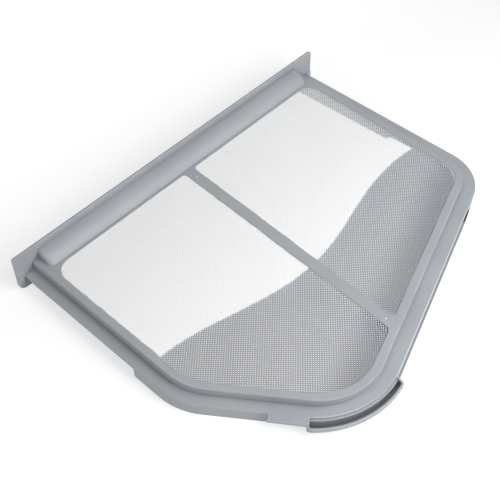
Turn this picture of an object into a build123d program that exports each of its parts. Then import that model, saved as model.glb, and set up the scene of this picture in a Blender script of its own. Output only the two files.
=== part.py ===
"""Tumble dryer lint filter: a moulded frame with a pull handle and two panes of woven mesh.

X runs along the handle, Y from the handle to the tip and Z up. The origin is in the middle of the handle, on the
inner face of its plate and level with the top of the border round the mesh.
"""

from build123d import *
from math import radians, tan
import os

# Handle plate, with heights and depths counted from the top of the border
plate_width = 371.0
plate_thickness = 2.6
plate_height = 16.3
plate_depth = 22.5
plate_left_radius = 4.0
plate_right_radius = 1.5
plate_bottom_radius = 7.0
plate_edge_bevel = 0.8
lip_thickness = 1.0

# Finger pocket, which opens through the plate and bulges towards the mesh
pocket_width = 322.6
pocket_reach = 16.4
pocket_rise = 10.0
pocket_bulge = 2.6
pocket_end_radius = 4.0
pocket_wall = 2.2
pocket_mouth_radius = 5.0
pocket_strip = 2.9

# Window in the frame, before the rib divides it
window_width = 322.4
window_right_side = 157.4
window_left_side = 178.6
tip_offset = 84.8
tip_reach = 262.2
handle_corner_radius = 15.0
right_corner_radius = 45.0
tip_radius = 50.0
left_corner_radius = 18.0

# Border round the window and the step down to the ledge
border_width = 6.7
border_thickness = 2.6
border_edge_radius = 0.6
step_height = 8.2
step_wall = 2.2

# Ledge outside the step
ledge_thickness = 2.4
ledge_right = 10.5
ledge_tip_right = 9.9
ledge_tip_left = 12.7
ledge_left_at_handle = 11.4
ledge_left_at_corner = 17.6
ledge_right_radius = 60.0
ledge_tip_radius = 75.0
ledge_left_radius = 45.0
ledge_edge_radius = 0.8

# Skirt under the two slanted sides
skirt_depth = 20.4
skirt_wall = 2.0
skirt_start = 134.0
skirt_end = -143.0

# Trough round the tip, whose rim stands off the skirt as a bumper, and the wing beside it
bumper_gap = 7.2
bumper_right_gap = 8.4
bumper_left_gap = 5.0
bumper_wall = 1.8
bumper_drop = 1.0
bumper_height = 3.4
bumper_right_reach = 52.0
bumper_left_reach = 49.6
bumper_left_taper = 5.2
bumper_corner_radius = 4.0
bumper_edge_bevel = 0.5
trough_lean = 45.0
shelf_width = 1.6
shelf_drop = 2.2
wing_length = 30.0
wing_width = 6.5

# Rib between the two panes
rib_width = 10.4
rib_start = 3.5
rib_lean = 2.3
rib_depth = 5.0
rib_corner_radius = 4.0
pin_diameter = 1.5
pin_from_handle = 10.6
pin_from_tip_side = 6.3

# Woven mesh, moulded into the border
mesh_thickness = 0.6
mesh_drop = 0.5
mesh_embed = 2.5
mesh_margin = 1.5
mesh_pitch = 2.75
mesh_gap = 1.2
ridge_width = 0.5
ridge_height = 0.3

# Places that follow from the sizes above
window_near = pocket_reach + pocket_strip
ledge_bottom = step_height + ledge_thickness
far = 2 * plate_width


def unit(start, end):
    """Direction from one plan point to another."""
    return (Vector(*end) - Vector(*start)).normalized()


def outward(direction):
    """Outward normal of an edge of an outline that runs anticlockwise."""
    return Vector(direction.Y, -direction.X)


def meet(start, along, other, across):
    """Plan point where two lines cross, each given by a point and a direction."""
    gap = Vector(*other) - Vector(*start)
    turn = along.X * across.Y - along.Y * across.X
    reach = (gap.X * across.Y - gap.Y * across.X) / turn
    crossing = Vector(*start) + along * reach
    return (crossing.X, crossing.Y)


def grown(corners, shifts):
    """Corners of an anticlockwise outline after each edge has moved outward by its own shift."""
    count = len(corners)
    lines = []
    for index, shift in enumerate(shifts):
        along = unit(corners[index], corners[(index + 1) % count])
        moved = Vector(*corners[index]) + outward(along) * shift
        lines.append(((moved.X, moved.Y), along))
    return [meet(*lines[index - 1], *lines[index]) for index in range(count)]


def outline(corners, corner_radii):
    """Flat face inside a closed outline with rounded corners."""
    return make_face(FilletPolyline(*corners, radius=corner_radii, close=True))


def slab(face, low, high):
    """Solid on a plan face between two heights."""
    return Pos(0, 0, low) * extrude(face, high - low)


def rounded_top(solid, radius):
    """Solid with its top edges rounded, apart from those against the handle plate."""
    top_edges = solid.edges().group_by(Axis.Z)[-1].filter_by(lambda edge: edge.center().Y > radius)
    return fillet(top_edges, radius)


# Window corners, anticlockwise from the handle's far end
half_window = window_width / 2
window_corners = [
    (-half_window, window_near),
    (half_window, window_near),
    (half_window, window_near + window_right_side),
    (tip_offset, window_near + tip_reach),
    (-half_window, window_near + window_left_side),
]
tip_side = unit(window_corners[3], window_corners[4])

# The rib leans a little, and its two edges part the window into panes
rib_along = Vector(tan(radians(rib_lean)), 1).normalized()
rib_edges = [(rib_start + side * rib_width / 2, window_near) for side in (-1, 1)]
rib_ends = [meet(edge, rib_along, window_corners[3], tip_side) for edge in rib_edges]
pane_corners = {
    "screen_left": [window_corners[0], rib_edges[0], rib_ends[0], window_corners[4]],
    "screen_right": [rib_edges[1], *window_corners[1:4], rib_ends[1]],
}
pane_radii = {
    "screen_left": [handle_corner_radius, rib_corner_radius, rib_corner_radius, left_corner_radius],
    "screen_right": [rib_corner_radius, handle_corner_radius, right_corner_radius, tip_radius, rib_corner_radius],
}


def pane_face(name, growth):
    """Plan of one pane's window, made larger or smaller all round."""
    corners = pane_corners[name]
    return outline(grown(corners, [growth] * len(corners)), [radius + growth for radius in pane_radii[name]])


# Border outline, which runs back to the plate at the handle
border_corners = grown(window_corners, [window_near] + [border_width] * 4)
border_radii = [0, 0] + [radius + border_width for radius in (right_corner_radius, tip_radius, left_corner_radius)]
border_face = outline(border_corners, border_radii)
core_face = outline(
    grown(border_corners, [0] + [-step_wall] * 4),
    [max(radius - step_wall, 0) for radius in border_radii],
)

# Ledge outline, whose left side spreads towards the corner
ledge_corners = grown(border_corners, [0, ledge_right, ledge_tip_right, ledge_tip_left, ledge_left_at_handle])
left_foot = ledge_corners[0]
left_spread = Vector(ledge_left_at_handle - ledge_left_at_corner, border_corners[4][1]).normalized()
ledge_corners[4] = meet(left_foot, left_spread, ledge_corners[3], unit(ledge_corners[3], ledge_corners[4]))
ledge_radii = [0, 0, ledge_right_radius, ledge_tip_radius, ledge_left_radius]


def ledge_face(growth):
    """Plan of the ledge's outer outline, moved outward on all sides but the handle's."""
    radii = [radius + growth if radius else 0 for radius in ledge_radii]
    return outline(grown(ledge_corners, [0] + [growth] * 4), radii)


# Directions along and out of the two slanted sides, counted from the corner where their edges meet
tip_corner = Vector(*ledge_corners[3])
right_along = unit(ledge_corners[3], ledge_corners[2])
left_along = unit(ledge_corners[3], ledge_corners[4])
right_normal = outward(-right_along)
left_normal = outward(left_along)


def right_spot(reach, out):
    """Plan point on the right slanted side, at a distance from the tip corner and out from its edge."""
    spot = tip_corner + right_along * reach + right_normal * out
    return (spot.X, spot.Y)


def left_spot(reach, out):
    """Plan point on the left slanted side, at a distance from the tip corner and out from its edge."""
    spot = tip_corner + left_along * reach + left_normal * out
    return (spot.X, spot.Y)


def handle_plate():
    """Upright plate with rounded corners and a thicker lip below the ledge."""
    half = plate_width / 2
    corners = [(-half, -plate_depth), (half, -plate_depth), (half, plate_height), (-half, plate_height)]
    corner_radii = [plate_bottom_radius] * 2 + [plate_right_radius, plate_left_radius]
    face = outline(corners, corner_radii)
    lip_height = plate_depth - step_height
    lip = face & Pos(0, -plate_depth) * Rectangle(plate_width, lip_height, align=(Align.CENTER, Align.MIN))
    plate = extrude(Plane.XZ * face, plate_thickness)
    plate = chamfer(plate.edges().group_by(Axis.Y)[0], plate_edge_bevel)
    return plate + extrude(Plane.XZ * lip, -lip_thickness)


def pocket_vault(inset):
    """Long vault over the pocket, shrunk by a wall thickness for its inside."""
    reach = pocket_reach - inset
    rise = pocket_rise - inset
    crown = Vector(reach, rise) / 2 + Vector(rise, reach).normalized() * pocket_bulge
    arc = ThreePointArc((0, rise), (crown.X, crown.Y), (reach, 0))
    face = make_face(arc + Polyline((reach, 0), (0, 0), (0, rise)))
    return extrude(Plane.YZ * face, pocket_width / 2 - inset, both=True)


def pocket_base(inset, depth):
    """Straight part of the pocket below the border's top."""
    face = Rectangle(pocket_width - 2 * inset, pocket_reach - inset, align=(Align.CENTER, Align.MIN))
    return slab(face, -depth, 0)


def pocket_shell():
    """Outside of the pocket, with the vault's ends rounded."""
    vault = pocket_vault(0)
    vault = fillet(vault.edges().filter_by(GeomType.CIRCLE), pocket_end_radius)
    return vault + pocket_base(0, ledge_bottom)


def pocket_hollow():
    """Inside of the pocket and its mouth through the handle plate."""
    half = pocket_width / 2 - pocket_wall
    low, high = -step_height, pocket_rise - pocket_wall
    corners = [(-half, low), (half, low), (half, high), (-half, high)]
    mouth = extrude(Plane.XZ * outline(corners, [pocket_mouth_radius] * 4), plate_thickness)
    return pocket_vault(pocket_wall) + pocket_base(pocket_wall, step_height) + mouth


def border():
    """Flat border with the step wall that hangs from its outer edge."""
    blank = rounded_top(slab(border_face, -ledge_bottom, 0), border_edge_radius)
    return blank - slab(core_face, -ledge_bottom, -border_thickness)


def ledge():
    """Flat ledge round the step, with the wing beside the bumper."""
    wing_start = bumper_right_reach - bumper_wall
    wing_end = bumper_right_reach + wing_length
    wing_corners = [
        right_spot(wing_end, -skirt_wall),
        right_spot(wing_end, wing_width),
        right_spot(wing_start, wing_width),
        right_spot(wing_start, -skirt_wall),
    ]
    wing_face = make_face(Polyline(*wing_corners, close=True))
    blank = slab(ledge_face(0) + wing_face, -ledge_bottom, -step_height)
    return rounded_top(blank, ledge_edge_radius) - slab(core_face, -ledge_bottom, -step_height)


def skirt():
    """Upright skirt under the ledge's edge, along the two slanted sides."""
    ring = ledge_face(0) - ledge_face(-skirt_wall)
    zone = Pos(skirt_end, skirt_start) * Rectangle(far, far, align=(Align.MIN, Align.MIN))
    return slab(ring & zone, -skirt_depth, -ledge_bottom)


def bowl(radius, centre, top):
    """Round bowl whose side leans inward from a height down to the skirt's foot."""
    depth = top + skirt_depth
    low_radius = radius - depth * tan(radians(trough_lean))
    cone = Cone(low_radius, radius, depth, align=(Align.CENTER, Align.CENTER, Align.MIN))
    return Pos(centre.X, centre.Y, -skirt_depth) * cone


def bumper():
    """Trough round the tip with the bumper as its rim, and the shelf on the skirt behind it."""
    right_end = right_spot(bumper_right_reach, bumper_right_gap + bumper_wall)
    left_end = left_spot(bumper_left_reach - bumper_left_taper, bumper_left_gap + bumper_wall)
    middle = ledge_face(bumper_gap + bumper_wall).edges().sort_by_distance(tip_corner)[0] @ 0.5
    nose = ThreePointArc(right_end, (middle.X, middle.Y), left_end)
    back = Polyline(
        left_end,
        left_spot(bumper_left_reach, -skirt_wall),
        right_spot(bumper_right_reach, -skirt_wall),
        right_end,
    )
    face = make_face(nose + back)
    outer_corners = [face.vertices().sort_by_distance(end)[0] for end in (right_end, left_end)]
    face = fillet(outer_corners, bumper_corner_radius)
    inner_face = offset(face, -bumper_wall)
    slot = inner_face - ledge_face(0)
    top = -step_height - bumper_drop
    low = top - bumper_height
    rim = slab(face, low, top)
    rim = chamfer(rim.edges().group_by(Axis.Z)[-1], bumper_edge_bevel)
    trough = slab(face, -skirt_depth, low) & bowl(nose.radius, nose.arc_center, low)
    hollow = slab(inner_face, -skirt_depth, low) & bowl(nose.radius - bumper_wall, nose.arc_center, low)
    hollow += slab(slot, low, top) + slab(ledge_face(-skirt_wall), -skirt_depth, top)
    shelf = slab(slot & ledge_face(shelf_width), -skirt_depth, -step_height - shelf_drop)
    return rim + trough - hollow + shelf


def rib():
    """Rib under the border between the panes, from the pocket to the far step wall."""
    start = Vector(rib_start, window_near) - rib_along * window_near
    end = start + rib_along * far
    side = outward(rib_along) * rib_width / 2
    points = [start - side, start + side, end + side, end - side]
    strip = make_face(Polyline(*[(point.X, point.Y) for point in points], close=True))
    beyond_pocket = Pos(0, pocket_reach) * Rectangle(far, far, align=(Align.CENTER, Align.MIN))
    return slab(strip & core_face & beyond_pocket, -rib_depth, -border_thickness)


def pin_holes():
    """Two locating holes through the rib, one near each end."""
    middle = (rib_start, window_near)
    far_end = meet(middle, rib_along, window_corners[3], tip_side)
    near_hole = Vector(*middle) + rib_along * pin_from_handle
    far_hole = Vector(*far_end) - rib_along * pin_from_tip_side
    hole = Cylinder(pin_diameter / 2, 2 * rib_depth)
    return Pos(near_hole.X, near_hole.Y) * hole + Pos(far_hole.X, far_hole.Y) * hole


def mesh_sheet(name):
    """Sheet of mesh before weaving, with its edge inside the border."""
    return slab(pane_face(name, mesh_embed), -mesh_drop - mesh_thickness, -mesh_drop)


def strands(width, shift):
    """Parallel strips along the handle-to-tip direction, one for each pitch of the weave."""
    count = int(window_width / mesh_pitch)
    strip = Rectangle(width, far)
    places = [mesh_pitch * (index - (count - 1) / 2) + shift for index in range(count)]
    return Sketch() + [Pos(place, 0) * strip for place in places]


def screen(name):
    """One pane of mesh: a sheet with long gaps, and a ridge along each strand between them."""
    inside = pane_face(name, -mesh_margin)
    gaps = strands(mesh_gap, 0) & inside
    ridges = strands(ridge_width, mesh_pitch / 2) & inside
    sheet = mesh_sheet(name) - slab(gaps, -mesh_drop - mesh_thickness, -mesh_drop)
    return sheet + slab(ridges, -mesh_drop, -mesh_drop + ridge_height)


def frame():
    """Whole frame moulding, with the windows, the pocket and the mesh groove cut out."""
    whole = handle_plate() + pocket_shell() + border() + ledge() + skirt() + bumper() + rib()
    whole -= pocket_hollow() + pin_holes()
    for name in pane_corners:
        whole -= slab(pane_face(name, 0), -rib_depth, 0)
        whole -= mesh_sheet(name)
    return whole


os.makedirs("parts", exist_ok=True)
export_step(frame(), "parts/frame.step")
for name in pane_corners:
    export_step(screen(name), f"parts/{name}.step")
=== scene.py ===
"""Looks of a tumble dryer lint filter: a moulded grey frame with two panes of woven mesh."""

import logging
import math
from dataclasses import dataclass, field
from enum import Enum
from typing import Any, Sequence

import bpy
import numpy as np
from mathutils import Matrix, Vector


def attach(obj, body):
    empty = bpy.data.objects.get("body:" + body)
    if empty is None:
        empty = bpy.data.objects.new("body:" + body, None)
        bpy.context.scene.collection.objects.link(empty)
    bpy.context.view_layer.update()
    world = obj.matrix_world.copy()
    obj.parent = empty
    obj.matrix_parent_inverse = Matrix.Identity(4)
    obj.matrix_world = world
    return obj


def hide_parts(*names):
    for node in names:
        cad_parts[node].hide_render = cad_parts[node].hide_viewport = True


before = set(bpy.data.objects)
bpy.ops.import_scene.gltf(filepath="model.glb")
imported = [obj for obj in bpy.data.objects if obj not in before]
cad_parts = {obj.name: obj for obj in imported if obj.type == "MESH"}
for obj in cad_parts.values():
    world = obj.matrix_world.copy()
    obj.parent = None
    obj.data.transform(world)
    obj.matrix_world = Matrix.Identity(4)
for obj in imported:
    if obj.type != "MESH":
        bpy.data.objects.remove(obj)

Point = tuple[float, float]
Span = tuple[float, float]
Place = tuple[float, float, float]
Colour = tuple[float, float, float]

MM = 0.001
WHITE = (1, 1, 1, 1)
PLASTIC_INDEX = 1.5
EDGE_SAMPLES = 6
NEAR_SAMPLES = 8
FIRST_FLASH_SEED = 3
# The weave's sizes are in millimetres, like the CAD's, and its turn is in degrees.
WEAVE_PITCH = 1.85
WEAVE_BIAS = 41.3
THREAD_MIDDLE = -0.8
# Plan directions of the long slanted side at the tip.
SLANT_ACROSS = (-0.3217, 0.9468)
SLANT_ALONG = (SLANT_ACROSS[1], -SLANT_ACROSS[0])

log = logging.getLogger("lint_filter")


def linear(red: int, green: int, blue: int) -> Colour:
    """Turn a screen colour into the linear values that the shaders take.

    Args:
        red: Red, 0 to 255.
        green: Green, 0 to 255.
        blue: Blue, 0 to 255.

    Returns:
        The linear colour.
    """
    parts = [value / 255 for value in (red, green, blue)]
    return tuple(part / 12.92 if part <= 0.04045 else ((part + 0.055) / 1.055) ** 2.4 for part in parts)


class Wire:
    """One output socket, on which arithmetic adds Math nodes."""

    def __init__(self, bench: "Bench", socket: bpy.types.NodeSocket) -> None:
        """Keep the socket and the node tree that it belongs to."""
        self.bench = bench
        self.socket = socket

    def maths(self, operation: str, *values: Any) -> "Wire":
        """Add one Math node.

        Args:
            operation: The Math node's operation.
            values: Numbers or wires, in the node's order.

        Returns:
            The result's wire.
        """
        return self.bench.add("ShaderNodeMath", {"operation": operation}, dict(enumerate(values)))

    def __add__(self, other: Any) -> "Wire":
        """Sum."""
        return self.maths("ADD", self, other)

    __radd__ = __add__

    def __sub__(self, other: Any) -> "Wire":
        """Difference."""
        return self.maths("SUBTRACT", self, other)

    def __rsub__(self, other: Any) -> "Wire":
        """Difference, the other way round."""
        return self.maths("SUBTRACT", other, self)

    def __mul__(self, other: Any) -> "Wire":
        """Product."""
        return self.maths("MULTIPLY", self, other)

    __rmul__ = __mul__

    def cosine(self) -> "Wire":
        """Cosine of an angle in radians."""
        return self.maths("COSINE", self)

    def larger(self, other: Any) -> "Wire":
        """The larger of two values."""
        return self.maths("MAXIMUM", self, other)

    def ramp(self, low: float, high: float) -> "Wire":
        """Smooth step from 0 at low to 1 at high.

        Args:
            low: Value that gives 0.
            high: Value that gives 1.

        Returns:
            The step's wire.
        """
        settings = {"interpolation_type": "SMOOTHSTEP"}
        sockets = {"Value": self, "From Min": low, "From Max": high, "To Min": 0.0, "To Max": 1.0}
        return self.bench.add("ShaderNodeMapRange", settings, sockets)


class Bench:
    """A node tree that finishes are laid out on."""

    def __init__(self, tree: bpy.types.NodeTree) -> None:
        """Start from an empty tree."""
        self.tree = tree
        tree.nodes.clear()

    def add(self, kind: str, settings: dict[str, Any], sockets: dict[Any, Any], out: Any = 0) -> Wire:
        """Add one node of any kind.

        Args:
            kind: The node's type.
            settings: Its own settings, which are set first.
            sockets: Values or wires by the input's name or number.
            out: The output's name or number.

        Returns:
            The wire of that output, or of no output where the node has none.
        """
        node = self.tree.nodes.new(kind)
        for name, value in settings.items():
            setattr(node, name, value)
        for name, value in sockets.items():
            if isinstance(value, Wire):
                self.tree.links.new(value.socket, node.inputs[name])
            else:
                node.inputs[name].default_value = value
        return Wire(self, node.outputs[out] if len(node.outputs) else None)

    def blend(self, share: Any, first: Any, second: Any) -> Wire:
        """Mix two colours.

        Args:
            share: Share of the second colour.
            first: Colour or wire.
            second: Colour or wire.

        Returns:
            The mixed colour's wire.
        """
        ends = [value if isinstance(value, Wire) else (*value, 1) for value in (first, second)]
        settings = {"data_type": "RGBA", "blend_type": "MIX", "clamp_factor": True}
        return self.add("ShaderNodeMix", settings, {0: share, 6: ends[0], 7: ends[1]}, out=2)

    def place(self) -> Wire:
        """Object coordinates, in metres."""
        return self.add("ShaderNodeTexCoord", {}, {}, out="Object")

    def axes(self, place: Wire) -> list[Wire]:
        """Split a place into its three coordinates."""
        split = self.add("ShaderNodeSeparateXYZ", {}, {0: place})
        return [Wire(self, split.socket.node.outputs[index]) for index in range(3)]

    def noise(self, place: Wire, size: float, layers: float) -> Wire:
        """Cloudy pattern from 0 to 1.

        Args:
            place: Coordinates.
            size: Size of one patch in metres.
            layers: Number of finer layers.

        Returns:
            The pattern's wire.
        """
        sockets = {"Vector": place, "Scale": 1 / size, "Detail": layers, "Roughness": 0.5}
        return self.add("ShaderNodeTexNoise", {"noise_dimensions": "3D"}, sockets)

    def seen(self) -> Wire:
        """Tell what is looked at from light on its way.

        Returns:
            1 for what the camera sees, also in gloss and through glass, and 0 for other rays.
        """
        path = self.add("ShaderNodeLightPath", {}, {}, out="Is Camera Ray")
        rays = path.socket.node.outputs
        glossy, through = Wire(self, rays["Is Glossy Ray"]), Wire(self, rays["Is Transmission Ray"])
        return path.larger(glossy).larger(through)

    def nearness(self, reach: float, inside: bool) -> Wire:
        """How much of the piece's own surface lies close round a spot.

        Args:
            reach: How far the surface counts, in metres.
            inside: Whether to look inward, which finds edges, and not outward, which finds creases.

        Returns:
            0 on an open face, rising at an edge or in a crease.
        """
        settings = {"samples": NEAR_SAMPLES, "inside": inside, "only_local": True}
        return 1 - self.add("ShaderNodeAmbientOcclusion", settings, {"Distance": reach}, out="AO")

    def bump(self, height: Wire, strength: float, distance: float, edge: float = 0.0) -> Wire:
        """Normal of a surface with small heights and softened edges.

        Args:
            height: Height pattern.
            strength: Share of the effect.
            distance: Height in metres that a value of 1 stands for.
            edge: Radius of the softened edges in metres, or 0 for none.

        Returns:
            The normal's wire.
        """
        sockets = {"Height": height, "Strength": strength, "Distance": distance}
        if edge:
            sockets["Normal"] = self.add("ShaderNodeBevel", {"samples": EDGE_SAMPLES}, {"Radius": edge})
        return self.add("ShaderNodeBump", {}, sockets)


def new_bench(name: str) -> tuple[bpy.types.Material, Bench]:
    """Make an empty material.

    Args:
        name: The material's name.

    Returns:
        The material and the bench for its nodes.
    """
    material = bpy.data.materials.new(name)
    material.use_nodes = True
    return material, Bench(material.node_tree)


@dataclass(frozen=True)
class SlantedSide:
    """Painted light and shade on the slanted side: a painted highlight on the ledge's edge, painted shade
    on the flange's top and painted shadow in the slot in the flange.

    Each pair is where a tone starts and where it is full, or starts to end and has ended. The wall and the
    lip are distances across the side, the starts and ends are places along it, and the rest are depths.
    """

    wall: Span = (257.7 * MM, 258.3 * MM)
    lip: Span = (259.9 * MM, 260.1 * MM)
    start: Span = (-64 * MM, -54 * MM)
    end: Span = (134 * MM, 139 * MM)
    under: Span = (9.0 * MM, 9.4 * MM)
    foot: Span = (10.6 * MM, 11.2 * MM)
    slot: Span = (10.4 * MM, 11.0 * MM)
    slot_floor: Span = (12.5 * MM, 12.8 * MM)
    slot_start: Span = (-60 * MM, -52 * MM)
    slot_end: Span = (-44 * MM, -38 * MM)
    # Painted highlight on the ledge's edge, painted shade on the flange's top and painted shadow in the
    # slot.
    painted_edge_highlight: Colour = linear(192, 195, 198)
    painted_flange_shade: Colour = linear(138, 141, 146)
    painted_slot_shade: Colour = linear(40, 42, 46)

    def lay(self, bench: Bench, place: Wire, skin: Wire) -> Wire:
        """Lay the painted highlight and shade over a skin.

        Args:
            bench: The material's bench.
            place: Object coordinates.
            skin: The skin's colour.

        Returns:
            The colour with the side's painted highlight and shade.
        """
        x, y, z = bench.axes(place)
        depth = 0 - z
        out = x * SLANT_ACROSS[0] + y * SLANT_ACROSS[1]
        station = x * SLANT_ALONG[0] + y * SLANT_ALONG[1]
        on_wall = out.ramp(*self.wall)
        length = station.ramp(*self.start) * (1 - station.ramp(*self.end))
        # Painted highlight on the edge, turning into painted shade on the flange below it.
        tone = bench.blend(depth.ramp(*self.under), self.painted_edge_highlight, self.painted_flange_shade)
        skin = bench.blend(on_wall * length * (1 - depth.ramp(*self.foot)), skin, tone)
        # Painted shadow in the slot.
        slot_length = station.ramp(*self.slot_start) * (1 - station.ramp(*self.slot_end))
        inside = on_wall * (1 - out.ramp(*self.lip))
        deep = depth.ramp(*self.slot) * (1 - depth.ramp(*self.slot_floor))
        return bench.blend(inside * deep * slot_length, skin, self.painted_slot_shade)


@dataclass(frozen=True)
class MouldedPlastic:
    """Satin grey plastic with the fine grain of an etched mould, with painted shade in its creases, a
    painted highlight along its edges and painted light and shade on the slanted side.
    """

    name: str = "moulded_grey_plastic"
    tone: Colour = linear(163, 167, 171)
    shade: Colour = linear(155, 159, 164)
    mottle_range: Span = (0.3, 0.7)
    # Painted shade: a darker colour in creases and at the foot of walls.
    crease_shade: Colour = linear(112, 116, 121)
    crease_shade_reach: float = 7 * MM
    crease_shade_range: Span = (0.08, 0.6)
    crease_shade_share: float = 0.45
    # Painted highlight: a lighter colour along convex edges.
    rim: Colour = linear(208, 211, 214)
    rim_highlight_reach: float = 0.48 * MM
    rim_highlight_range: Span = (0.1, 0.5)
    rim_highlight_share: float = 0.65
    roughness: float = 0.46
    roughness_swing: float = 0.10
    cloud: float = 45 * MM
    cloud_layers: float = 3
    grain: float = 0.55 * MM
    grain_layers: float = 1
    grain_share: float = 0.3
    grain_height: float = 0.02 * MM
    grain_strength: float = 0.6
    edge: float = 0.7 * MM
    slanted_side: SlantedSide = SlantedSide()

    def make(self) -> bpy.types.Material:
        """Build the material.

        Returns:
            The material.
        """
        material, bench = new_bench(self.name)
        place = bench.place()
        cloud = bench.noise(place, self.cloud, self.cloud_layers)
        grain = bench.noise(place, self.grain, self.grain_layers)
        mottle = cloud * (1 - self.grain_share) + grain * self.grain_share
        skin = bench.blend(mottle.ramp(*self.mottle_range), self.shade, self.tone)
        # Painted shade darkens the skin in creases.
        crease_shade_mask = bench.nearness(self.crease_shade_reach, inside=False).ramp(*self.crease_shade_range)
        skin = bench.blend(crease_shade_mask * self.crease_shade_share, skin, self.crease_shade)
        # Painted highlight lightens the skin along edges.
        highlight_at_edge = bench.nearness(self.rim_highlight_reach, inside=True).ramp(*self.rim_highlight_range)
        skin = bench.blend(highlight_at_edge * self.rim_highlight_share, skin, self.rim)
        # Painted highlight and shade on the slanted side.
        skin = self.slanted_side.lay(bench, place, skin)
        shader = bench.add(
            "ShaderNodeBsdfPrincipled",
            {},
            {
                "Base Color": skin,
                "Roughness": cloud * self.roughness_swing + (self.roughness - self.roughness_swing / 2),
                "IOR": PLASTIC_INDEX,
                "Normal": bench.bump(grain, self.grain_strength, self.grain_height, self.edge),
            },
        )
        bench.add("ShaderNodeOutputMaterial", {}, {"Surface": shader})
        return material


@dataclass(frozen=True)
class MeshShadePlan:
    """Where the mesh is pale and where it is grey with painted shade: one wavy edge across it and one strip
    at its left.
    """

    edge_middle: float = 158.9 * MM
    edge_swing: float = 12.8 * MM
    edge_crest: float = 17 * MM
    edge_length: float = 300 * MM
    edge_soft: float = 1.0 * MM
    side_start: float = -145.5 * MM
    side_lean: float = -0.055
    spur: float = 4.5 * MM
    spur_from: Span = (121 * MM, 125 * MM)
    side_fade: Span = (50 * MM, 160 * MM)
    side_share: float = 0.5
    ragged: float = 3 * MM
    ragged_size: float = 5 * MM
    ragged_layers: float = 3

    def pale(self, along: np.ndarray, out: np.ndarray) -> np.ndarray:
        """Share of pale thread at points of the plan.

        Args:
            along: Places along the handle, in metres.
            out: Places from the handle to the tip, in metres.

        Returns:
            1 where the thread is pale, 0 where it is grey.
        """
        wave = np.cos((along - self.edge_crest) * 2 * math.pi / self.edge_length)
        beyond = out - wave * self.edge_swing - self.edge_middle
        start, full = self.spur_from
        spur = np.clip((out - start) / (full - start), 0, 1) * self.spur
        aside = out * self.side_lean + self.side_start - spur - along
        return np.clip(0.5 - np.maximum(beyond, aside) / (2 * self.edge_soft), 0, 1)

    def grey(self, bench: Bench, place: Wire) -> Wire:
        """Mask of the grey painted shade for a finish.

        Args:
            bench: The material's bench.
            place: Object coordinates.

        Returns:
            1 where the thread is grey, 0 where it is pale.
        """
        along, out, _ = bench.axes(place)
        ragged = (bench.noise(place, self.ragged_size, self.ragged_layers) - 0.5) * self.ragged
        wave = ((along - self.edge_crest) * (2 * math.pi / self.edge_length)).cosine()
        beyond = out + ragged - wave * self.edge_swing - self.edge_middle
        spur = out.ramp(*self.spur_from) * self.spur
        aside = out * self.side_lean + self.side_start - spur - along + ragged
        fade = out.ramp(*self.side_fade) * (1 - self.side_share) + self.side_share
        soft = self.edge_soft
        return beyond.ramp(-soft, soft).larger(aside.ramp(-soft, soft) * fade)


@dataclass(frozen=True)
class WovenThread:
    """Polyester thread, pale towards the handle and grey towards the tip, where the grey is painted shade;
    lighter crowns, darker valleys, faint lines and a darker end near the slanted side are painted light and
    shade too.
    """

    tone: MeshShadePlan
    name: str = "woven_polyester"
    pale_crown: Colour = linear(255, 255, 255)
    pale_line_shade: Colour = linear(249, 250, 251)
    # Painted light and shade: light crowns and dark valleys in the grey part.
    grey_crown: Colour = linear(245, 249, 255)
    grey_valley_shade: Colour = linear(56, 60, 66)
    # Painted shade: darker crowns and valleys towards the slanted side at the tip.
    deep_shade_crown: Colour = linear(205, 210, 217)
    deep_shade_valley: Colour = linear(5, 6, 9)
    deep_shade_reach: Span = (203 * MM, 236 * MM)
    crown_range: Span = (-0.07 * MM, 0.13 * MM)
    line_range: Span = (-1.0, 0.2)
    roughness: float = 0.5
    roughness_swing: float = 0.2
    fuzz: float = 0.4 * MM
    fuzz_layers: float = 2
    fuzz_height: float = 0.03 * MM
    fuzz_strength: float = 0.5

    def lines(self, along: Wire, out: Wire) -> Wire:
        """Painted shade in lines between the weft threads.

        Args:
            along: Place along the handle.
            out: Place from the handle to the tip.

        Returns:
            1 on a thread, 0 between two.
        """
        turn = math.radians(WEAVE_BIAS)
        across = out * math.cos(turn) - along * math.sin(turn)
        return (across * (2 * math.pi / (WEAVE_PITCH * MM))).cosine().ramp(*self.line_range)

    def make(self) -> bpy.types.Material:
        """Build the material.

        Returns:
            The material.
        """
        material, bench = new_bench(self.name)
        place = bench.place()
        along, out, height = bench.axes(place)
        # Painted light on the crowns and painted shade in the valleys between them.
        on_crown = (height - THREAD_MIDDLE * MM).ramp(*self.crown_range)
        # Painted shade in faint lines between the threads of the pale part.
        pale = bench.blend(self.lines(along, out), self.pale_line_shade, self.pale_crown)
        # Painted shade deepens towards the slanted side.
        deep = (along * SLANT_ACROSS[0] + out * SLANT_ACROSS[1]).ramp(*self.deep_shade_reach)
        valley_shade = bench.blend(deep, self.grey_valley_shade, self.deep_shade_valley)
        crown = bench.blend(deep, self.grey_crown, self.deep_shade_crown)
        grey = bench.blend(on_crown, valley_shade, crown)
        fuzz = bench.noise(place, self.fuzz, self.fuzz_layers)
        shader = bench.add(
            "ShaderNodeBsdfPrincipled",
            {},
            {
                # Grey painted shade over the pale thread where the mask is grey.
                "Base Color": bench.blend(self.tone.grey(bench, place), pale, grey),
                "Roughness": fuzz * self.roughness_swing + (self.roughness - self.roughness_swing / 2),
                "IOR": PLASTIC_INDEX,
                "Normal": bench.bump(fuzz, self.fuzz_strength, self.fuzz_height),
            },
        )
        bench.add("ShaderNodeOutputMaterial", {}, {"Surface": shader})
        return material


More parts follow.
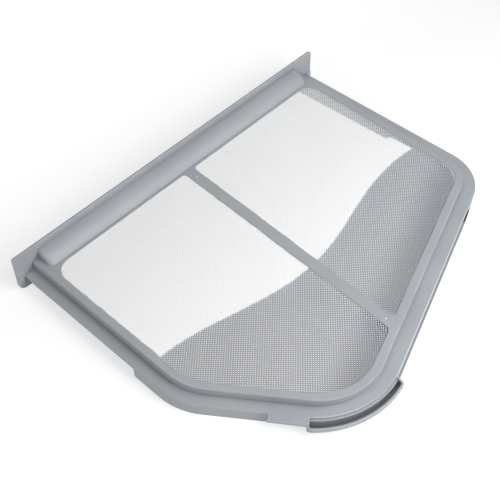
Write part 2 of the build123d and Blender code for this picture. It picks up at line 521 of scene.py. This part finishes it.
@dataclass(frozen=True)
class PaperSweep:
    """White studio floor, which shows as white where nothing shades it.

    Each side of the part's outline is its outward direction in plan and how far out it lies, in metres. The
    far reach is in square metres.
    """

    name: str = "white_floor"
    tone: Colour = (0.86, 0.86, 0.86)
    seen_tone: Colour = (0.56, 0.56, 0.56)
    lift: float = 0.57
    back_share: float = 0.7
    back_reach: Span = (-0.1, 0.4)
    far_reach: Span = (0.2, 1.5)
    outline: tuple[tuple[Point, float], ...] = (
        (SLANT_ACROSS, 0.258),
        ((0.808, 0.589), 0.256),
        ((1.0, 0.0), 0.184),
        ((-1.0, 0.0), 0.196),
        ((0.0, -1.0), 0.026),
    )
    shade_start: float = 8 * MM
    shade_full: float = 22 * MM

    def make(self) -> bpy.types.Material:
        """Build the material, which keeps its shade under the part.

        Returns:
            The material.
        """
        material, bench = new_bench(self.name)
        along, out, _ = bench.axes(bench.place())
        sides = [along * across + out * forth - reach for (across, forth), reach in self.outline]
        beyond = sides[0]
        for side in sides[1:]:
            beyond = beyond.larger(side)
        clear = beyond.ramp(-self.shade_full, -self.shade_start)
        paper = bench.add("ShaderNodeBsdfDiffuse", {}, {"Color": (*self.tone, 1)})
        back = (0 - out).ramp(*self.back_reach) * self.back_share
        far = (along * along + out * out).ramp(*self.far_reach)
        glow_tone = clear * (back.larger(far) * (1 - self.lift) + self.lift)
        glow = bench.add("ShaderNodeEmission", {}, {"Color": glow_tone, "Strength": 1.0})
        seen_paper = bench.add("ShaderNodeBsdfDiffuse", {}, {"Color": (*self.seen_tone, 1)})
        lifted = bench.add("ShaderNodeAddShader", {}, {0: seen_paper, 1: glow})
        surface = bench.add("ShaderNodeMixShader", {}, {0: bench.seen(), 1: paper, 2: lifted})
        below = bench.add("ShaderNodeNewGeometry", {}, {}, out="Backfacing")
        gone = bench.add("ShaderNodeBsdfTransparent", {}, {})
        surface = bench.add("ShaderNodeMixShader", {}, {0: below, 1: surface, 2: gone})
        bench.add("ShaderNodeOutputMaterial", {}, {"Surface": surface})
        return material


def mesh_piece(
    name: str, corners: np.ndarray, faces: Sequence[Sequence[int]], smooth: bool = True
) -> bpy.types.Object:
    """Make a mesh object in the scene.

    Args:
        name: The piece's name.
        corners: Corner places in metres, one row each.
        faces: Corner numbers of each face.
        smooth: Whether its faces are shaded as one smooth surface.

    Returns:
        The new object.
    """
    data = bpy.data.meshes.new(name)
    data.from_pydata([tuple(corner) for corner in corners], [], [tuple(face) for face in faces])
    data.polygons.foreach_set("use_smooth", [smooth] * len(data.polygons))
    piece = bpy.data.objects.new(name, data)
    bpy.context.scene.collection.objects.link(piece)
    return piece


def ring_faces(count: int, bands: int) -> list[list[int]]:
    """Faces of the bands between closed rings of corners.

    Args:
        count: Number of corners in each ring.
        bands: Number of bands, one less than the rings.

    Returns:
        The four corner numbers of each face.
    """
    here = np.arange(count)
    onward = (here + 1) % count
    band = np.stack([here, onward, onward + count, here + count], axis=1)
    return np.concatenate([band + number * count for number in range(bands)]).tolist()


@dataclass
class MadePiece:
    """A piece of the part that is made here and not in the CAD, with its sizes in millimetres."""

    piece: bpy.types.Object = field(init=False)

    def dress(self, finish: bpy.types.Material) -> None:
        """Give the piece its finish and report it."""
        self.piece.data.materials.append(finish)
        log.info("%s: %d faces", self.piece.name, len(self.piece.data.polygons))


class Side(Enum):
    """The two panes, by the CAD node that each one stands for."""

    LEFT = "screen_left"
    RIGHT = "screen_right"


class Run(Enum):
    """The two thread directions, by the axis of the cloth that a thread follows."""

    WEFT = 0
    WARP = 1


@dataclass
class WindowPlan:
    """Plan of the two windows in the frame, in millimetres as the CAD has it."""

    corners: tuple[Point, ...] = (
        (-161.2, 19.3),
        (161.2, 19.3),
        (161.2, 176.7),
        (84.8, 281.5),
        (-161.2, 197.9),
    )
    handle_radius: float = 15
    right_radius: float = 45
    tip_radius: float = 50
    left_radius: float = 18
    rib_width: float = 10.4
    rib_start: float = 3.5
    rib_lean: float = 2.3
    rib_radius: float = 4
    pin_from_handle: float = 10.6
    pin_from_tip: float = 6.3
    arc_steps: int = 14

    def rib_edge(self, hand: int) -> tuple[Point, Point]:
        """Ends of one edge of the rib.

        Args:
            hand: -1 for the left edge, 1 for the right edge.

        Returns:
            The end at the handle and the end at the tip side.
        """
        near = Vector((self.rib_start + hand * self.rib_width / 2, self.corners[0][1]))
        along = Vector((math.tan(math.radians(self.rib_lean)), 1)).normalized()
        start = Vector(self.corners[3])
        side = Vector(self.corners[4]) - start
        gap = start - near
        reach = (gap.x * side.y - gap.y * side.x) / (along.x * side.y - along.y * side.x)
        return tuple(near), tuple(near + along * reach)

    def pin_spots(self) -> tuple[Point, Point]:
        """Middles of the two pin holes in the rib.

        Returns:
            The one at the handle and the one at the tip side.
        """
        ends = [[Vector(end) for end in self.rib_edge(hand)] for hand in (-1, 1)]
        near, far = [(left + right) / 2 for left, right in zip(*ends)]
        along = (far - near).normalized()
        return tuple(near + along * self.pin_from_handle), tuple(far - along * self.pin_from_tip)

    def pane(self, side: Side) -> tuple[list[Point], list[float]]:
        """Corners of one pane, counter-clockwise, and their radii.

        Args:
            side: Which pane.

        Returns:
            The corners and the radius at each one.
        """
        hand = -1 if side is Side.LEFT else 1
        near, far = self.rib_edge(hand)
        if side is Side.LEFT:
            corners = [self.corners[0], near, far, self.corners[4]]
            return corners, [self.handle_radius, self.rib_radius, self.rib_radius, self.left_radius]
        corners = [near, *self.corners[1:4], far]
        window_radii = [self.handle_radius, self.right_radius, self.tip_radius]
        return corners, [self.rib_radius, *window_radii, self.rib_radius]

    def outline(self, side: Side, growth: float) -> np.ndarray:
        """Rounded outline of one pane, moved outward.

        Args:
            side: Which pane.
            growth: Distance that the outline moves outward, in millimetres.

        Returns:
            Points along the outline, counter-clockwise, one row each.
        """
        corners, radii = self.pane(side)
        spots = [Vector(corner) for corner in corners]
        points = []
        for index, spot in enumerate(spots):
            back = (spots[index - 1] - spot).normalized()
            onward = (spots[(index + 1) % len(spots)] - spot).normalized()
            half = back.angle(onward) / 2
            radius = radii[index]
            middle = spot + (back + onward).normalized() * radius / math.sin(half)
            first = math.atan2(-back.x, back.y) + math.pi
            sweep = math.pi - 2 * half
            for step in range(self.arc_steps + 1):
                angle = first + sweep * step / self.arc_steps
                points.append(middle + Vector((math.cos(angle), math.sin(angle))) * (radius + growth))
        return np.array([tuple(point) for point in points])


@dataclass
class MeshPane(MadePiece):
    """One pane of plain-woven mesh, with its edge held in the frame's groove."""

    side: Side
    plan: WindowPlan
    tone: MeshShadePlan
    thread: float = 0.95
    filled_thread: float = 1.6
    swing: float = 0.16
    crown: float = 0.08
    embed: float = 1.6

    def reach(self, outline: np.ndarray, run: Run, place: float) -> Span | None:
        """Where a straight thread enters and leaves the pane.

        Args:
            outline: The pane's outline.
            run: The thread's direction.
            place: Its place across that direction.

        Returns:
            The first and last coordinate along the thread, or nothing where it misses the pane.
        """
        along, across = run.value, 1 - run.value
        following = np.roll(outline, -1, axis=0)
        crossed = (outline[:, across] - place) * (following[:, across] - place) < 0
        if crossed.sum() < 2:
            return None
        before, after = outline[crossed], following[crossed]
        share = (place - before[:, across]) / (after[:, across] - before[:, across])
        hits = before[:, along] + share * (after[:, along] - before[:, along])
        return hits.min(), hits.max()

    def width(self, places: np.ndarray) -> np.ndarray:
        """Width of a thread, which is fuller in the pale part of the pane.

        Args:
            places: Points along the thread, in the cloth's own axes.

        Returns:
            The width at each point, as a column.
        """
        plan = places @ self.turn().T * MM
        pale = self.tone.pale(plan[:, 0], plan[:, 1])
        return (self.thread + (self.filled_thread - self.thread) * pale)[:, None]

    def turn(self) -> np.ndarray:
        """Turn from the cloth's axes to the part's."""
        return np.array(Matrix.Rotation(math.radians(WEAVE_BIAS), 3, "Z"))

    def threads(self, outline: np.ndarray, run: Run) -> tuple[np.ndarray, np.ndarray]:
        """All the threads of one direction, as strips three corners wide.

        Args:
            outline: The outline that the threads end at.
            run: The threads' direction.

        Returns:
            Corner places in millimetres, and the four corner numbers of each face.
        """
        along, across = run.value, 1 - run.value
        low, high = outline[:, across].min(), outline[:, across].max()
        corners, faces, count = [], [], 0
        for number in range(math.ceil(low / WEAVE_PITCH), math.floor(high / WEAVE_PITCH) + 1):
            ends = self.reach(outline, run, number * WEAVE_PITCH)
            if ends is None or ends[1] - ends[0] < WEAVE_PITCH:
                continue
            first, last = math.ceil(ends[0] / WEAVE_PITCH * 2), math.floor(ends[1] / WEAVE_PITCH * 2)
            stations = np.arange(first, last + 1)
            lift = np.cos(math.pi * (stations / 2 + number + run.value)) * self.swing
            rows = np.zeros((len(stations), 3, 3))
            rows[:, :, along] = (stations * WEAVE_PITCH / 2)[:, None]
            rows[:, :, across] = number * WEAVE_PITCH
            rows[:, :, 2] = THREAD_MIDDLE + lift[:, None] + np.array([-0.5, 0.5, -0.5]) * self.crown
            rows[0, :, along], rows[-1, :, along] = ends
            rows[:, :, across] += self.width(rows[:, 1]) * np.array([-0.5, 0, 0.5])
            corners.append(rows.reshape(-1, 3))
            steps = count + 3 * np.arange(len(stations) - 1)[:, None] + np.arange(2)
            faces.append(np.stack([steps, steps + 1, steps + 4, steps + 3], axis=-1).reshape(-1, 4))
            count += rows.shape[0] * 3
        return np.concatenate(corners), np.concatenate(faces)

    def build(self) -> None:
        """Weave the pane on the bias and put it in the node's place."""
        turn = self.turn()
        outline = self.plan.outline(self.side, self.embed) @ turn[:2, :2]
        weft, weft_faces = self.threads(outline, Run.WEFT)
        warp, warp_faces = self.threads(outline, Run.WARP)
        corners = np.concatenate([weft, warp]) @ turn.T * MM
        faces = np.concatenate([weft_faces[:, ::-1], warp_faces + len(weft)])
        self.piece = mesh_piece(f"woven_{self.side.value}", corners, faces.tolist())
        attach(self.piece, "root")
        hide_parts(self.side.value)

    def declare(self) -> None:
        """Work out the outline that the mesh was cut to, which nothing then uses."""
        outline = self.plan.outline(self.side, self.embed) * MM


@dataclass
class OvermouldFlash(MadePiece):
    """Thin ragged film of plastic that ran over the mesh at one window's edge."""

    side: Side
    plan: WindowPlan
    seed: int
    spacing: float = 0.9
    most: float = 1.2
    smoothed_over: int = 9
    broad_low: float = 0.35
    broad_span: float = 0.3
    fine_share: float = 0.3
    handle_side: float = 0.6
    web: float = 1.9
    web_spread: float = 12
    tuck: float = 0.3
    flat_share: float = 0.6
    top: float = -0.42
    rim: float = -0.66

    def widths(self, count: int) -> np.ndarray:
        """Width of the film at each station, rising and falling at random.

        Args:
            count: Number of stations round the window.

        Returns:
            The widths in millimetres.
        """
        chance = np.random.default_rng(self.seed)
        fine = chance.random(count)
        window = np.ones(self.smoothed_over) / self.smoothed_over
        broad = np.convolve(np.tile(chance.random(count), 3), window, "same")[count:2 * count]
        broad = np.clip((broad - self.broad_low) / self.broad_span, 0, 1)
        return self.most * broad * (1 - self.fine_share + self.fine_share * fine)

    def web_widths(self, line: np.ndarray) -> np.ndarray:
        """Extra width of the film in the left pane's far corner.

        Args:
            line: Stations round the window.

        Returns:
            The extra widths in millimetres.
        """
        if self.side is not Side.LEFT:
            return np.zeros(len(line))
        apart = np.hypot(*(line - self.plan.corners[4]).T)
        return self.web * np.clip(1 - (apart - apart.min()) / self.web_spread, 0, 1) ** 2

    def build(self) -> None:
        """Lay the film along the window's edge."""
        edge = self.plan.outline(self.side, 0)
        closed = np.vstack([edge, edge[:1]])
        lengths = np.concatenate([[0], np.cumsum(np.hypot(*np.diff(closed, axis=0).T))])
        count = int(lengths[-1] / self.spacing)
        stations = np.arange(count) * lengths[-1] / count
        line = np.stack([np.interp(stations, lengths, closed[:, axis]) for axis in (0, 1)], axis=1)
        along = np.roll(line, -1, axis=0) - np.roll(line, 1, axis=0)
        inward = np.stack([-along[:, 1], along[:, 0]], axis=1) / np.hypot(*along.T)[:, None]
        width = np.where(inward[:, 1] > self.handle_side, 0, self.widths(count))
        width = (width + self.web_widths(line))[:, None]
        rows = [(-self.tuck, self.top), (self.flat_share * width, self.top), (width, self.rim)]
        rings = [np.column_stack([line + inward * reach, np.full(count, height)]) for reach, height in rows]
        name = f"flash_{self.side.name.lower()}"
        self.piece = mesh_piece(name, np.concatenate(rings) * MM, ring_faces(count, len(rings) - 1))
        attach(self.piece, "root")


@dataclass
class PinStub(MadePiece):
    """Near-white stub of plastic in a pin hole of the rib."""

    name: str
    spot: Point
    radius: float = 0.72
    rings: tuple[Point, ...] = ((1.0, -0.9), (1.0, 0.05), (0.8, 0.25), (0.4, 0.35))
    sides: int = 20

    def build(self) -> None:
        """Turn the stub in its hole, from rings with a share of the radius and a height each."""
        angles = np.arange(self.sides) * 2 * math.pi / self.sides
        edge = np.column_stack([np.cos(angles), np.sin(angles)]) * self.radius
        rows = [
            np.column_stack([edge * share + self.spot, np.full(self.sides, height)])
            for share, height in self.rings
        ]
        bands = len(rows) - 1
        foot = list(range(self.sides))[::-1]
        top = list(range(bands * self.sides, len(rows) * self.sides))
        faces = [*ring_faces(self.sides, bands), foot, top]
        self.piece = mesh_piece(self.name, np.concatenate(rows) * MM, faces)
        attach(self.piece, "root")


@dataclass
class SkirtFlange(MadePiece):
    """Thin flange that stands out from the skirt under the slanted side's ledge, with one slot in it."""

    stations: tuple[float, ...] = (-74, -62, -58.1, -58, -43, -42.9, 134, 139)
    reaches: tuple[float, ...] = (0.1, 0.9, 1.4, 1.4, 1.9, 1.9, 1.9, 0.1)
    slotted: tuple[bool, ...] = (False, False, False, True, True, False, False, False)
    wall: float = 258.6
    tuck: float = 0.6
    lip: float = 0.35
    top: float = -10.2
    sunk: float = 0.05
    slot_floor: float = -12.4
    foot: float = -12.8

    def section(self, reach: float, slotted: bool) -> list[Point]:
        """Section of the flange at one station.

        Args:
            reach: How far it stands out from the wall.
            slotted: Whether the slot is open there.

        Returns:
            Distance across the side and height of each corner.
        """
        rear, front = self.wall - self.tuck, self.wall + reach
        inner = front - self.lip
        floor = self.slot_floor if slotted else self.top - self.sunk
        upper = [(rear, floor), (inner, floor), (inner, self.top), (front, self.top)]
        return [*upper, (front, self.foot), (rear, self.foot)]

    def build(self) -> None:
        """Draw the flange along the wall, run out at both ends."""
        across, along = np.array(SLANT_ACROSS), np.array(SLANT_ALONG)
        sections = [self.section(*shape) for shape in zip(self.reaches, self.slotted)]
        corners = [
            (*(along * station + across * out), height)
            for station, section in zip(self.stations, sections)
            for out, height in section
        ]
        count, bands = len(sections[0]), len(sections) - 1
        faces = [face[::-1] for face in ring_faces(count, bands)]
        faces += [list(range(count)), list(range(bands * count, len(corners)))[::-1]]
        self.piece = mesh_piece("skirt_flange", np.array(corners) * MM, faces, smooth=False)
        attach(self.piece, "root")


@dataclass
class FrameMoulding:
    """The one-piece frame, which is the CAD node itself."""

    node: bpy.types.Object

    def dress(self, finish: bpy.types.Material) -> None:
        """Give the moulding its finish and report it.

        Args:
            finish: The finish.
        """
        self.node.data.materials.clear()
        self.node.data.materials.append(finish)
        log.info("%s: dressed", self.node.name)


@dataclass(frozen=True)
class StudioLamp:
    """One soft box, aimed at a spot, in metres and watts."""

    name: str
    spot: Place
    power: float
    aim: Place = (0.0, 0.14, 0.0)
    width: float = 0.45

    def place(self) -> None:
        """Put the lamp in the scene."""
        data = bpy.data.lights.new(self.name, "AREA")
        data.shape = "DISK"
        data.size = self.width
        data.energy = self.power
        lamp = bpy.data.objects.new(self.name, data)
        lamp.location = self.spot
        lamp.visible_camera = False
        lamp.rotation_euler = (Vector(self.aim) - Vector(self.spot)).to_track_quat("-Z", "Y").to_euler()
        bpy.context.scene.collection.objects.link(lamp)


@dataclass
class Studio:
    """Camera, floor and light of the photograph, with places in metres and the roll in degrees."""

    camera_spot: Place = (0.42558, 0.48680, 0.62942)
    camera_aim: Place = (0.03470, 0.12328, 0.0)
    camera_roll: float = 0.229
    lens: float = 70.62
    sensor: float = 36
    floor_half: float = 4.0
    plate_foot: Point = (-0.0026, -0.0225)
    tip_foot: Point = (0.2850, -0.0204)
    room_light: float = 0.06
    lamps: tuple[StudioLamp, ...] = (
        StudioLamp("tip_lamp", (0.0, 0.746, 0.35), 2.5),
        StudioLamp("left_lamp", (-0.429, 0.569, 0.35), 1.3),
        StudioLamp("right_lamp", (0.606, 0.14, 0.35), 1.4),
        StudioLamp("top_lamp", (-0.05, 0.45, 0.50), 1.5),
        StudioLamp("back_lamp", (-0.429, -0.289, 0.35), 0.7),
    )

    def set_camera(self) -> None:
        """Put the camera where the photograph was taken from."""
        data = bpy.data.cameras.new("photo_camera")
        data.sensor_width = self.sensor
        data.lens = self.lens
        camera = bpy.data.objects.new("photo_camera", data)
        ahead = Vector(self.camera_aim) - Vector(self.camera_spot)
        turn = ahead.to_track_quat("-Z", "Y").to_matrix()
        roll = Matrix.Rotation(math.radians(self.camera_roll), 3, "Z")
        camera.matrix_world = Matrix.Translation(self.camera_spot) @ (turn @ roll).to_4x4()
        bpy.context.scene.collection.objects.link(camera)
        bpy.context.scene.camera = camera

    def lay_floor(self) -> None:
        """Lay the floor under the plate's foot and the tip's foot, on which the part stands."""
        (near, low), (far, high) = self.plate_foot, self.tip_foot
        slope = (high - low) / (far - near)
        half = self.floor_half
        plan = ((-half, -half), (half, -half), (half, half), (-half, half))
        corners = np.array([(x, y, low + slope * (y - near)) for x, y in plan])
        floor = mesh_piece("studio_floor", corners, [(0, 1, 2, 3)])
        floor.data.materials.append(PaperSweep().make())

    def light(self) -> None:
        """Hang the lamps, and set the even light of the room and the white backdrop."""
        for lamp in self.lamps:
            lamp.place()
        world = bpy.data.worlds.new("studio_room")
        world.use_nodes = True
        bench = Bench(world.node_tree)
        room = bench.add("ShaderNodeBackground", {}, {"Color": WHITE, "Strength": self.room_light})
        backdrop = bench.add("ShaderNodeBackground", {}, {"Color": WHITE, "Strength": 1.0})
        surface = bench.add("ShaderNodeMixShader", {}, {0: bench.seen(), 1: room, 2: backdrop})
        bench.add("ShaderNodeOutputWorld", {}, {"Surface": surface})
        bpy.context.scene.world = world
        bpy.context.scene.view_settings.view_transform = "Standard"


def main() -> None:
    """Build and dress the filter, then set the studio."""
    logging.basicConfig(level=logging.INFO, format="%(message)s")
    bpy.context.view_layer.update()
    moulding = FrameMoulding(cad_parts["frame"])
    plastic = MouldedPlastic().make()
    moulding.dress(plastic)
    flange = SkirtFlange()
    flange.build()
    flange.dress(plastic)
    tone = MeshShadePlan()
    thread = WovenThread(tone).make()
    plan = WindowPlan()
    for side in Side:
        pane = MeshPane(side, plan, tone)
        pane.build()
        pane.dress(thread)
        pane.declare()
    film = MouldedPlastic("overmould_film", linear(186, 190, 194), linear(176, 180, 184)).make()
    for seed, side in enumerate(Side, start=FIRST_FLASH_SEED):
        flash = OvermouldFlash(side, plan, seed)
        flash.build()
        flash.dress(film)
    pale_plastic = MouldedPlastic("pale_pin_stub_plastic", linear(246, 247, 248), linear(236, 237, 239)).make()
    for name, spot in zip(("pin_stub_near", "pin_stub_far"), plan.pin_spots()):
        mark = PinStub(name, spot)
        mark.build()
        mark.dress(pale_plastic)
    studio = Studio()
    studio.set_camera()
    studio.lay_floor()
    studio.light()


if __name__ == "__main__":
    main()
